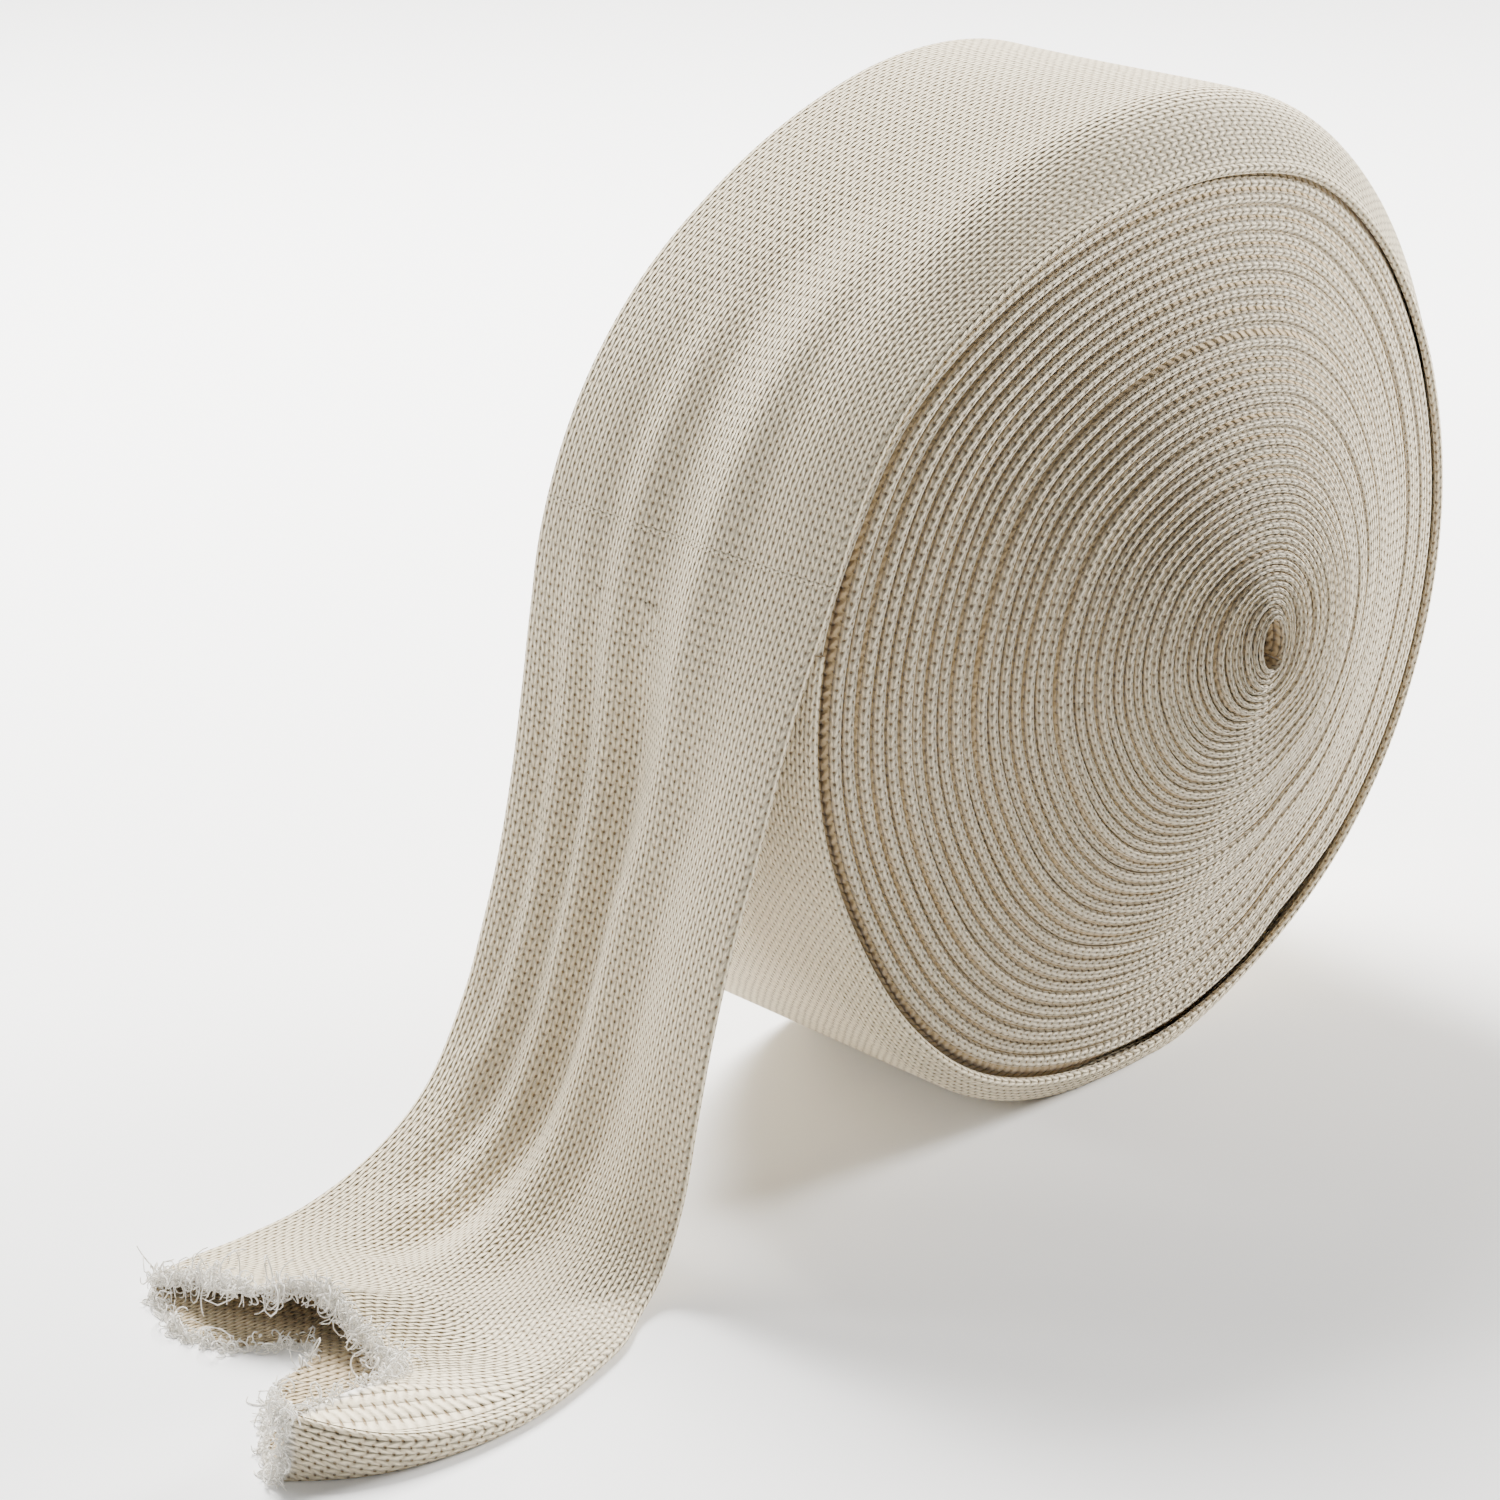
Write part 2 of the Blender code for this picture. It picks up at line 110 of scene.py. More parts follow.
RIM_ANGLES = [START_ANGLE, -150, -135, -120, -100, -80, -60, -45, -15, 0,
              15, 30, 45, 60, 75, 90, 105, 120, 140, LEAVE_ANGLE]
RIM_ROWS = np.array([
    # near  crown    far  crown at
    [0.960, 0.985, 1.010, 0.20],
    [0.945, 0.960, 0.980, 0.20],
    [0.960, 0.988, 0.988, 0.12],
    [0.975, 1.010, 1.008, 0.07],
    [0.968, 1.014, 1.012, 0.06],
    [0.962, 1.014, 1.012, 0.06],
    [0.960, 0.998, 0.998, 0.06],
    [0.965, 0.996, 0.997, 0.07],
    [0.965, 0.996, 1.002, 0.09],
    [0.968, 1.018, 1.012, 0.14],
    [0.970, 1.045, 1.025, 0.20],
    [0.978, 1.085, 1.050, 0.20],
    [0.988, 1.105, 1.070, 0.20],
    [0.986, 1.105, 1.075, 0.20],
    [0.952, 1.080, 1.078, 0.20],
    [0.924, 1.042, 1.060, 0.22],
    [0.916, 1.010, 1.036, 0.25],
    [0.930, 1.000, 1.027, 0.25],
    [0.968, 1.005, 1.042, 0.25],
    [0.966, 1.000, 1.045, 0.25],
])


def rim_radius(angles, across):
    """Radius of the rim over angles by shares across: a quarter sine up to the crown, then an eased run."""
    near, crown, far, crown_at = round_rows(RIM_ANGLES, RIM_ROWS, angles).T[:, :, None]
    across = np.asarray(across)[None, :]
    rise = near + (crown - near) * np.sin(0.5 * np.pi * np.minimum(across / crown_at, 1.0))
    run = crown + (far - crown) * ease((across - crown_at) / (1 - crown_at))
    return ROLL_RADIUS * np.where(across < crown_at, rise, run)


def floor_limit(angles, height):
    """The radius at which a point under the axis would pass a height above the floor."""
    down = np.maximum(-np.sin(np.radians(angles)), 1e-3)
    return (AXIS_HEIGHT - height) / down


print("rim radius over the top:", rim_radius([90.0], [0.0, 0.5, 1.0]).round(4))

# %% [markdown]
# ## Putting a grid of points into a mesh
# Every cloth here is a grid: one direction runs along the tube, the other round it. The corner list of all
# its quads comes from index arithmetic on whole arrays. The UV map holds stitches: one unit across is one
# wale, one unit along is one course, so that the knit follows the cloth wherever it bends.

# %% Grid to mesh
def grid_quads(rows, columns):
    """Corner numbers of the quads of a grid that closes on itself, row by row; and the same corners in a
    UV grid that is one column wider, because the last column's quads end on a UV line of their own."""
    row, column = np.meshgrid(np.arange(rows - 1), np.arange(columns), indexing="ij")
    after = (column + 1) % columns
    quads = np.stack([row * columns + column, row * columns + after,
                      (row + 1) * columns + after, (row + 1) * columns + column], -1)
    wide = columns + 1
    corners = np.stack([row * wide + column, row * wide + column + 1,
                        (row + 1) * wide + column + 1, (row + 1) * wide + column], -1)
    return quads.reshape(-1, 4), corners.reshape(-1, 4)


def cloth_object(name, points, faces, uv, shade_and_fray, material):
    """One object from points, faces, UV pairs for the face corners and a painted-shade value for each
    point.
    """
    mesh = bpy.data.meshes.new(name)
    mesh.from_pydata(points.tolist(), [], faces)
    layer = mesh.uv_layers.new(name="knit")
    layer.data.foreach_set("uv", np.ascontiguousarray(uv, np.float32).ravel())
    mark = mesh.attributes.new("shade_and_fray", "FLOAT", "POINT")
    mark.data.foreach_set("value", np.ascontiguousarray(shade_and_fray, np.float32))
    mesh.materials.append(material)
    mesh.shade_smooth()
    piece = bpy.data.objects.new(name, mesh)
    bpy.context.scene.collection.objects.link(piece)
    print(name, len(mesh.polygons), "faces")
    return piece


# %% [markdown]
# ## Shader maths as Python expressions
# A procedural knit needs a few dozen Math nodes. Wired by hand they are hard to read, so a small class
# wraps a socket and lets plain operators add the nodes. Numbers alone never become nodes.

# %% A socket that can be reckoned with
class Signal:
    """A socket in a material. Operators on it add Math nodes; node() adds any other node."""

    def __init__(self, tree, socket):
        self.tree = tree
        self.socket = socket

    def node(self, kind, settings, inputs, output=0):
        """Add a node: its settings first, then a value or a link for each named or numbered socket."""
        made = self.tree.nodes.new(kind)
        for name, setting in settings.items():
            setattr(made, name, setting)
        for name, value in inputs.items():
            slot = made.inputs[name]
            if isinstance(value, Signal):
                self.tree.links.new(value.socket, slot)
            else:
                slot.default_value = value
        return Signal(self.tree, made.outputs[output])

    def maths(self, operation, *values):
        """One Math node on this socket and the given values."""
        return self.node("ShaderNodeMath", {"operation": operation}, dict(enumerate((self, *values))))

    def __add__(self, other):
        return self.maths("ADD", other)

    def __sub__(self, other):
        return self.maths("SUBTRACT", other)

    def __mul__(self, other):
        return self.maths("MULTIPLY", other)

    def __pow__(self, other):
        return self.maths("POWER", other)

    def __rsub__(self, other):
        return self.maths("MULTIPLY", -1.0) + other

    __radd__ = __add__
    __rmul__ = __mul__

    def step(self, low, high):
        """A smooth step from 0 at low to 1 at high."""
        return self.node("ShaderNodeMapRange", {"interpolation_type": "SMOOTHSTEP"},
                         {"Value": self, "From Min": low, "From Max": high})

    def blend(self, first, second):
        """A mix of two colours by this factor."""
        return self.node("ShaderNodeMix", {"data_type": "RGBA"}, {0: self, 6: first, 7: second}, 2)


# %% [markdown]
# ## The knit
# Plain jersey shows columns of V-shaped stitches. The two legs of a V lean apart, so the height is a wave
# that rises along the tube and shifts with the distance from the middle of the column; a hump across each
# leg makes it a round yarn. Small holes sit between the legs and, half a row higher, between the columns.
# A photographed weave would repeat and wouldn't follow the folds, so the pattern is worked out instead. A
# point attribute paints shade into the sides of folds and the tube's lining where it is above zero, and
# bleaches the cut edge below zero. The holes and the gaps between the legs are painted shade as well.

# %% Cotton jersey
def opaque(colour, share=1.0):
    """A colour times a share, with the fourth number that Blender's colours have."""
    return (*[share * part for part in colour], 1.0)


def jersey(name, pale, deep, bump_depth, hole_shade_share):
    """Knitted cotton: pale yarn, painted shade in holes, between legs and in grooves, and a bump of
    V-shaped stitches. A leg is half a cosine of the row less 0.55 of the way from the column's edge to its
    middle."""
    material = bpy.data.materials.new(name)
    material.use_nodes = True
    tree = material.node_tree
    shader = tree.nodes["Principled BSDF"]
    shader.inputs["Roughness"].default_value = 0.92
    shader.inputs["Sheen Weight"].default_value = 0.25
    shader.inputs["Sheen Roughness"].default_value = 0.6
    shader.inputs["Specular IOR Level"].default_value = 0.2
    root = Signal(tree, None)
    stitches = root.node("ShaderNodeUVMap", {"uv_map": "knit"}, {})
    across = root.node("ShaderNodeSeparateXYZ", {}, {0: stitches}, 0)
    along = root.node("ShaderNodeSeparateXYZ", {}, {0: stitches}, 1)
    place = root.node("ShaderNodeTexCoord", {}, {}, 3)
    patch = root.node("ShaderNodeTexNoise", {}, {"Vector": place, "Scale": 38.0, "Detail": 3.0})
    fibre = root.node("ShaderNodeTexNoise", {}, {"Vector": place, "Scale": 1400.0, "Detail": 2.0})
    wander = root.node("ShaderNodeTexNoise", {}, {"Vector": place, "Scale": 240.0, "Detail": 1.0})
    side = across.maths("PINGPONG", 0.5) * 2.0
    row = along + (wander - 0.5) * 0.5
    leg = (row - side * 0.55).maths("MULTIPLY", 2 * math.pi).maths("COSINE") * -0.5 + 0.5
    hump = (side * math.pi).maths("SINE").maths("MAXIMUM", 0.0) ** 0.6
    hole = ((row * (2 * math.pi)).maths("COSINE") * (side * math.pi).maths("COSINE")).step(0.5, 1.0)
    shade_and_fray = root.node("ShaderNodeAttribute", {"attribute_name": "shade_and_fray"}, {}, 2)
    height = hump * (leg * 0.5 + 0.5) - hole * 0.5 + (fibre - 0.5) * 0.35
    bump = root.node("ShaderNodeBump", {}, {"Height": height, "Distance": bump_depth, "Strength": 1.0})
    # Painted shade: where the point attribute is above zero, the pale yarn turns to the shade brown.
    painted_shade = shade_and_fray.blend(opaque(pale), opaque(deep))
    shade_and_wear = (patch.step(0.3, 0.7) * 0.22).blend(painted_shade, opaque(pale, 0.90))
    loose = (shade_and_fray * -1.0).maths("MAXIMUM", 0.0)
    # Painted shade in the holes and between the legs and humps of the yarn, plus a random fibre tone.
    knit_shade_and_tone = ((1.0 - loose) * hole_shade_share * hole + (1.0 - hump) * 0.10
            + (1.0 - leg) * 0.36 + (fibre - 0.5) * 0.25)
    knit_shade_and_tone = knit_shade_and_tone.maths("MAXIMUM", 0.0).maths("MINIMUM", 1.0)
    colour = knit_shade_and_tone.blend(shade_and_wear, opaque(deep, 0.55))
    colour = loose.blend(colour, (0.97, 0.94, 0.86, 1.0))
    tree.links.new(colour.socket, shader.inputs["Base Color"])
    tree.links.new(bump.socket, shader.inputs["Normal"])
    return material


# The second colour is not the yarn's own: it is the brown of painted shade in holes, folds and the lining.
PALE = (0.93, 0.81, 0.575)
SHADE_BROWN = (0.54, 0.37, 0.17)
outer_jersey = jersey("outer_jersey", PALE, SHADE_BROWN, 0.0008, 0.75)
# The folded edges of the face get a darker copy of the same cotton, with more shade in its holes: painted
# shade.
shaded_edge_jersey = jersey("shaded_edge_jersey", (0.88, 0.775, 0.57), SHADE_BROWN, 0.0010, 0.90)

# %% [markdown]
# ## The wound turns
# Only the folded edges of the inner turns show, so each turn is a closed band: two flat sides that nobody
# sees and a rounded fold at either end. One spiral carries the profile from the core to the rim. The core
# has been pushed out towards the near side, which makes the face a blunt cone and the far side a dish. No
# winder lays every turn alike, so slow waves move each fold in and out by a fraction of a millimetre.

# %% The spiral
SLACK_ANGLES = [-66.0, -59.0, -53.0, -44.0]
SLACK = [0.0, 0.014, 0.010, 0.0]             # a loose place at the lower right, in shares of the radius
OUTER_START = -192.0      # the outermost turn starts here, hidden behind the free end
FIRST_TURN = 0.35
MIDDLE_TURN = 24.0        # one band ends and the next begins here
RISE = 0.05               # the share of a turn over which the last one rises to the outer cloth
PITCH_START, PITCH_GROWTH = 1.55, 1.45       # turns are packed tighter at the core than at the rim
PITCH_SUM = PITCH_START + PITCH_GROWTH
SNUG = 0.0003             # how far the pressed turns sink into each other
WINDINGS_END = TURNS + (OUTER_START - START_ANGLE) / 360.0
FALL_SHARES = [0.0, 0.30, 0.60, 0.85, 1.0]
FALL_FREE_SIDE = [0.0, 0.31, 0.62, 0.87, 1.0]
FALL_OTHER_SIDE = [0.0, 0.24, 0.62, 0.96, 1.0]
COLUMNS_A_TURN = 132
FOLD_POINTS = 9
BETWEEN = np.array([0.05, 0.12, 0.20, 0.35, 0.60, 0.85])


def turn_share(room):
    """How far out a turn lies, from 0 at the core to 1 at the rim: a straight part plus a square part."""
    return (room * PITCH_START + room ** 2 * PITCH_GROWTH) / PITCH_SUM


def turn_pitch(room, rim):
    """The radial width of one turn: the slope of turn_share, times the room from core to rim."""
    return (PITCH_START + 2 * PITCH_GROWTH * room) / PITCH_SUM * (rim - CORE_RADIUS) / TURNS


def round_core(radius, share, theta):
    """X and Z of a radius and an angle: a circle, narrower in X and moved aside near the core."""
    squeeze = CORE_SQUEEZE + (1 - CORE_SQUEEZE) * ease(share * 6)
    x = CORE_CENTRE[0] * (1 - share)[:, None] + radius * np.cos(theta) * squeeze[:, None]
    z = AXIS_HEIGHT + CORE_CENTRE[1] * (1 - share)[:, None] + radius * np.sin(theta)
    return x, z


def waves(rng, at, count, low, high, size):
    """A sum of sines with random pace between low and high waves a turn; its usual size is given."""
    pace = rng.uniform(low, high, count)[:, None]
    phase = rng.uniform(0, 2 * np.pi, count)[:, None]
    share = rng.uniform(0.5, 1.0, count)[:, None]
    return size * (share * np.sin(2 * np.pi * pace * at[None, :] + phase)).sum(0) / math.sqrt(count / 2)


def spiral(name, first_turn, last_turn, lift_near, lift_far):
    """The band between two turns. Its centre radius grows with the turn by a pitch that widens outwards;
    a half ellipse closes it at the near and the far end, each end moved along Y by the face's fall."""
    count = int((last_turn - first_turn) * COLUMNS_A_TURN) + 1
    turn = np.linspace(first_turn, last_turn, count)
    angles = START_ANGLE + 360.0 * turn
    turned = (angles - START_ANGLE) % 360.0 + START_ANGLE
    slack = np.interp(turned, SLACK_ANGLES, SLACK) * ROLL_RADIUS
    room = turn / TURNS
    share = turn_share(room)
    theta = np.radians(angles)[:, None]
    sides = []
    for side, across, lift in ((-1, 0.0, lift_near), (1, 1.0, lift_far)):
        rim = rim_radius(angles, [across])[:, 0] - TURN + SNUG - (slack if side < 0 else 0.0)
        rim = np.minimum(rim, floor_limit(angles, TURN - SNUG))
        rim = rim + (TURN + CLEARANCE) * ease((turn - WINDINGS_END + RISE) / RISE)
        pitch = turn_pitch(room, rim)
        middle = CORE_RADIUS + share * (rim - CORE_RADIUS) - 0.5 * pitch
        other = 0.5 + 0.5 * np.cos(np.radians(angles))
        fall = np.interp(share, FALL_SHARES, FALL_FREE_SIDE) * (1 - other)
        fall = fall + np.interp(share, FALL_SHARES, FALL_OTHER_SIDE) * other
        crest = side * (HALF_WIDTH + FOLD_BULGE) - CONE_RISE * (1 - fall) + side * lift(turn)
        pressed = other * ease(share * 2.2) * 0.45
        depth = 0.0016 * (1 - pressed)
        arc = np.linspace(-90, 90, FOLD_POINTS) * (1 if side < 0 else -1)
        height = np.sin(np.radians(arc))[None, :] * (0.5 * pitch * 1.02)[:, None]
        radius = np.maximum(middle[:, None] + height, 0.0012)
        x, z = round_core(radius, share, theta)
        y = (crest - side * depth)[:, None] + side * depth[:, None] * np.cos(np.radians(arc))[None, :]
        length = np.abs(arc) / 90.0 * 0.5 * np.pi * 0.00135 / WALE
        # The third item is painted shade: none on the crest of a fold, full at its sides and on the hidden
        # flats.
        sides.append((np.stack([x, y, z], -1), length * np.sign(np.linspace(-1, 1, FOLD_POINTS)),
                      np.abs(np.sin(np.radians(arc))) ** 4, middle))
    reach = rim_radius(angles, BETWEEN)
    crown = np.minimum(reach - TURN + SNUG, floor_limit(angles, TURN - SNUG)[:, None])
    pitch = turn_pitch(room[:, None], crown)
    edge = CORE_RADIUS + share[:, None] * (crown - CORE_RADIUS)
    ends_y = sides[0][0][:, -1, 1], sides[1][0][:, 0, 1]
    flats = []
    for radius in (edge, edge - pitch):
        x, z = round_core(radius, share, theta)
        y = ends_y[0][:, None] + (ends_y[1] - ends_y[0])[:, None] * BETWEEN
        flats.append(np.stack([x, y, z], -1))
    points = np.concatenate([sides[0][0], flats[0], sides[1][0], flats[1][:, ::-1]], 1)
    run = np.radians(360.0 / COLUMNS_A_TURN) * sides[0][3][1:]
    run = np.concatenate([[0.0], np.cumsum(run)]) / COURSE
    across_uv = np.concatenate([sides[0][1], BETWEEN * WALES_FLAT, sides[1][1] + WALES_FLAT,
                                (2 - BETWEEN[::-1]) * WALES_FLAT, [WALES_FLAT * 2 + sides[0][1][0]]])
    flat = np.ones(len(BETWEEN))
    shade_and_fray = np.tile(np.concatenate([sides[0][2], flat, sides[1][2], flat]), (count, 1))
    quads, corners = grid_quads(count, points.shape[1])
    uv = np.stack(np.broadcast_arrays(across_uv[None, :], run[:, None]), -1).reshape(-1, 2)
    ring = np.arange(points.shape[1])
    faces = quads.tolist() + [ring[::-1].tolist(), ((count - 1) * len(ring) + ring).tolist()]
    uv = np.concatenate([uv[corners.ravel()], np.zeros((2 * len(ring), 2))])
    return cloth_object(name, points.reshape(-1, 3), faces, uv, shade_and_fray.ravel() * 0.9, shaded_edge_jersey)


def fold_lift(seed):
    """How far each fold stands out along Y: slow waves over many turns and quicker ones within a turn."""
    def lift(turn):
        rng = np.random.default_rng(seed)
        slow = waves(rng, turn, 6, 0.08, 0.48, 0.00055)
        quick = waves(rng, turn, 6, 1.2, 5.3, 0.00016)
        return (slow + quick) * ease(turn / 3.0)
    return lift


near_lift, far_lift = fold_lift(11), fold_lift(23)
inner_turns = spiral("inner_turns", FIRST_TURN, MIDDLE_TURN, near_lift, far_lift)
outer_turns = spiral("outer_turns", MIDDLE_TURN, WINDINGS_END, near_lift, far_lift)

# %% [markdown]
# ## The outermost turn and the free end
# From its start under the free end, the tube runs once round the roll, leaves it at the upper left and
# hangs to the floor. It is one continuous surface, so that no seam shows where it leaves the roll. At each
# place along it there is a near corner, a far corner and a direction away from the roll; the two layers
# and the rounded folds between them are laid out from these.

# %% The tube's course
COURSE_ROWS = np.array([
    # near x   near z  near y   far x    far z   far y
    [-0.976, 1.132, -1.00, -1.010, 1.127, 1.00],
    [-1.030, 0.991, -1.00, -1.032, 0.991, 1.00],
    [-1.088, 0.823, -1.00, -1.062, 0.823, 1.00],
    [-1.152, 0.657, -1.00, -1.102, 0.650, 1.00],
    [-1.204, 0.495, -1.00, -1.152, 0.494, 1.00],
    [-1.248, 0.330, -1.00, -1.215, 0.336, 1.00],
    [-1.292, 0.173, -1.01, -1.320, 0.173, 0.99],
    [-1.358, 0.050, -1.03, -1.474, 0.068, 0.98],
    [-1.460, 0.000, -1.13, -1.650, 0.014, 0.98],
    [-1.591, 0.000, -1.34, -1.809, 0.000, 0.99],
    [-1.773, 0.000, -1.51, -1.927, 0.000, 0.99],
    [-1.927, 0.000, -1.40, -2.009, 0.000, 0.98],
    [-2.055, 0.000, -1.03, -2.073, 0.000, 0.95],
]) * np.array([ROLL_RADIUS, ROLL_RADIUS, HALF_WIDTH] * 2)
OPENING_AT = [0.0, 0.09, 0.22, 0.50, 1.0]
OPENING_ROWS = TUBE_WIDTH * np.array([[0.0] * 5] * 6 + [
    [0.000, 0.000, 0.003, 0.010, 0.002],
    [0.000, 0.004, 0.006, 0.022, 0.004],
    [0.000, 0.008, 0.010, 0.036, 0.006],
    [0.003, 0.015, 0.014, 0.055, 0.008],
    [0.012, 0.025, 0.018, 0.080, 0.012],
    [0.060, 0.030, 0.022, 0.100, 0.014],
    [0.155, 0.035, 0.030, 0.112, 0.016],
])
LAST_ROW = len(COURSE_ROWS) - 1


LEAD_STEP = 20.0          # degrees from one section of the roll to the next, where the course begins


def roll_sections(angles):
    """Near corner, far corner and outward direction of the inner layer on the roll."""
    ends = rim_radius(angles, [0.0, 1.0]) - TURN
    ends = np.minimum(ends, floor_limit(angles, TURN)[:, None])
    theta = np.radians(angles)
    away = np.stack([np.cos(theta), np.zeros_like(theta), np.sin(theta)], -1)
    corners = [away * ends[:, side, None] + np.array([0.0, y, AXIS_HEIGHT])
               for side, y in ((0, -HALF_WIDTH), (1, HALF_WIDTH))]
    return corners[0], corners[1], away


def free_sections(rows):
    """The same along the hanging stretch, from a smooth curve through two sections of the roll and the
    course's rows; the outward direction is the course's direction turned a quarter about Y."""
    near, far, _ = roll_sections(np.array([LEAVE_ANGLE - LEAD_STEP, LEAVE_ANGLE]))
    lead = np.concatenate([near[:, [0, 2, 1]], far[:, [0, 2, 1]]], 1)
    table = np.concatenate([lead, COURSE_ROWS])
    keys = np.arange(-2.0, LAST_ROW + 1)
    value = smooth_rows(keys, table, rows)
    near, far = value[:, [0, 2, 1]], value[:, [3, 5, 4]]
    along = np.gradient(near + far, axis=0)
    away = np.stack([along[:, 2], np.zeros(len(rows)), -along[:, 0]], -1)
    away /= np.linalg.norm(away, axis=1, keepdims=True)
    leaving = np.radians(LEAVE_ANGLE)
    radial = np.array([np.cos(leaving), 0.0, np.sin(leaving)])
    away += (radial - away) * (1 - ease((rows + 1.0) / 1.5))[:, None]
    return near, far, away / np.linalg.norm(away, axis=1, keepdims=True)


angles = np.arange(OUTER_START, LEAVE_ANGLE, 0.8)
rows = np.linspace(-0.93, LAST_ROW, 225)
near, far, away = (np.concatenate(pair) for pair in zip(roll_sections(angles), free_sections(rows)))
row = np.concatenate([-1.0 - (LEAVE_ANGLE - angles) / LEAD_STEP, rows])
steps = np.linalg.norm(np.diff(0.5 * (near + far), axis=0), axis=1)
along = np.concatenate([[0.0], np.cumsum(steps)])
leaves = len(angles)
print("tube along the outermost turn and the free end:", along[-1].round(3), "m")

# %% [markdown]
# ## Creases and the cut mouth
# The flattened tube keeps the lengthwise creases that winding pressed into it. They start on top of the
# roll and die out above the floor. Near the mouth the two layers part, the near fold stands up like a
# small wall, and the cut runs unevenly, so the upper and lower layers reach out by different amounts.

# %% Lay out the layers
CREASES = [
    # starts and ends at row, share across there, width and depth in metres
    (-3.2, 9.0, 0.56, 0.66, 0.0070, 0.0085),
    (-2.4, 7.5, 0.76, 0.80, 0.0046, 0.0058),
    (-1.2, 5.5, 0.89, 0.91, 0.0032, 0.0030),
    (-0.5, 9.5, 0.34, 0.44, 0.0110, 0.0050),
    (-3.0, 3.0, 0.44, 0.50, 0.0046, 0.0024),
]
MOUTH = np.array([
    # across upper lower
    [0.000, 0.330, 0.375],
    [0.030, 0.300, 0.350],
    [0.055, -0.030, 0.330],
    [0.100, -0.150, 0.295],
    [0.140, -0.180, 0.265],
    [0.250, -0.190, 0.170],
    [0.360, -0.200, 0.050],
    [0.400, -0.200, -0.120],
    [0.470, -0.220, -0.155],
    [0.530, -0.170, -0.105],
    [0.610, -0.080, 0.015],
    [0.750, -0.072, 0.045],
    [0.850, -0.085, 0.020],
    [1.000, -0.040, -0.040],
])
MOUTH_FROM = 8.5          # the row from which the cut is drawn out to its uneven line
UPPER_AT = np.concatenate([np.linspace(0.0, 0.09, 10), np.linspace(0.0, 1.0, 58)[6:]])
LOWER_AT = np.linspace(0.0, 1.0, 44)
FOLD_AT = np.linspace(0.0, 1.0, 9)[1:-1]
FOLD_WALES = 0.6
print("points round the tube:", len(UPPER_AT) + len(LOWER_AT) + 2 * len(FOLD_AT))


def opening(at_rows, across):
    """How far apart the layers are, over rows by shares across: half a millimetre where they lie flat."""
    table = smooth_rows(np.arange(LAST_ROW + 1.0), OPENING_ROWS, np.clip(at_rows, 0, LAST_ROW))
    lifted = np.maximum(smooth_rows(OPENING_AT, table.T, across), 0).T
    free = ease((at_rows + 1.5) / 3.0)[:, None]
    return 0.0002 + 0.0003 * free + lifted


def crease(at_rows, across):
    """How deep the creases press in: bell curves whose middle drifts from one share to another."""
    depth = np.zeros((len(at_rows), len(across)))
    for first, last, start, end, width, deep in CREASES:
        part = np.clip((at_rows - first) / (last - first), 0, 1)
        middle = start + (end - start) * part
        room = 0.25 + 0.75 * ease((at_rows + 1.0) / 3.0)
        strength = deep * room * np.sin(np.pi * part) ** 0.6
        gap = (across[None, :] - middle[:, None]) * TUBE_WIDTH
        flank = np.exp(-((gap + 1.8 * width) / (1.1 * width)) ** 2)
        depth += strength[:, None] * np.exp(-(gap / width) ** 2)
        depth -= 0.38 * np.sin(np.pi * part[:, None]) ** 0.6 * deep * flank
    return depth


